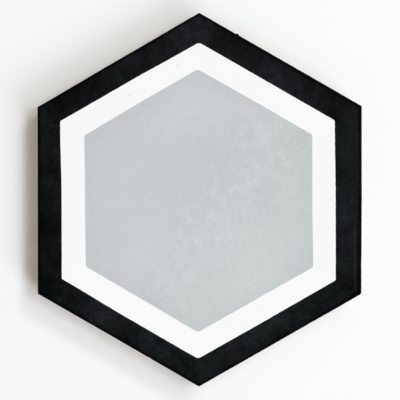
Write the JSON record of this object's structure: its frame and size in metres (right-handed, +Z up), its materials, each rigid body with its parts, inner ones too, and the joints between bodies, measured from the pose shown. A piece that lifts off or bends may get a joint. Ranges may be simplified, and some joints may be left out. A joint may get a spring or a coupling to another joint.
{
  "type": "hexagonal cement floor tile",
  "caption": "Pressed cement hexagon tile with a black border, a white band and a light grey centre, laid face up with others to make a floor.",
  "frame": {"origin": "middle of the back, which is the face that is bedded in mortar", "axes": "+Z up out of the coloured face; two corners point along +Y and -Y and two flat sides face +X and -X"},
  "size_m": [0.2, 0.2306, 0.016],
  "materials": {
    "grey_cement": "matte",
    "white_cement": "matte",
    "black_cement": "matte",
    "mortar": "matte"
  },
  "bodies": {
    "root": {"hexagon_tile": "grey_cement"}
  },
  "joints": []
}
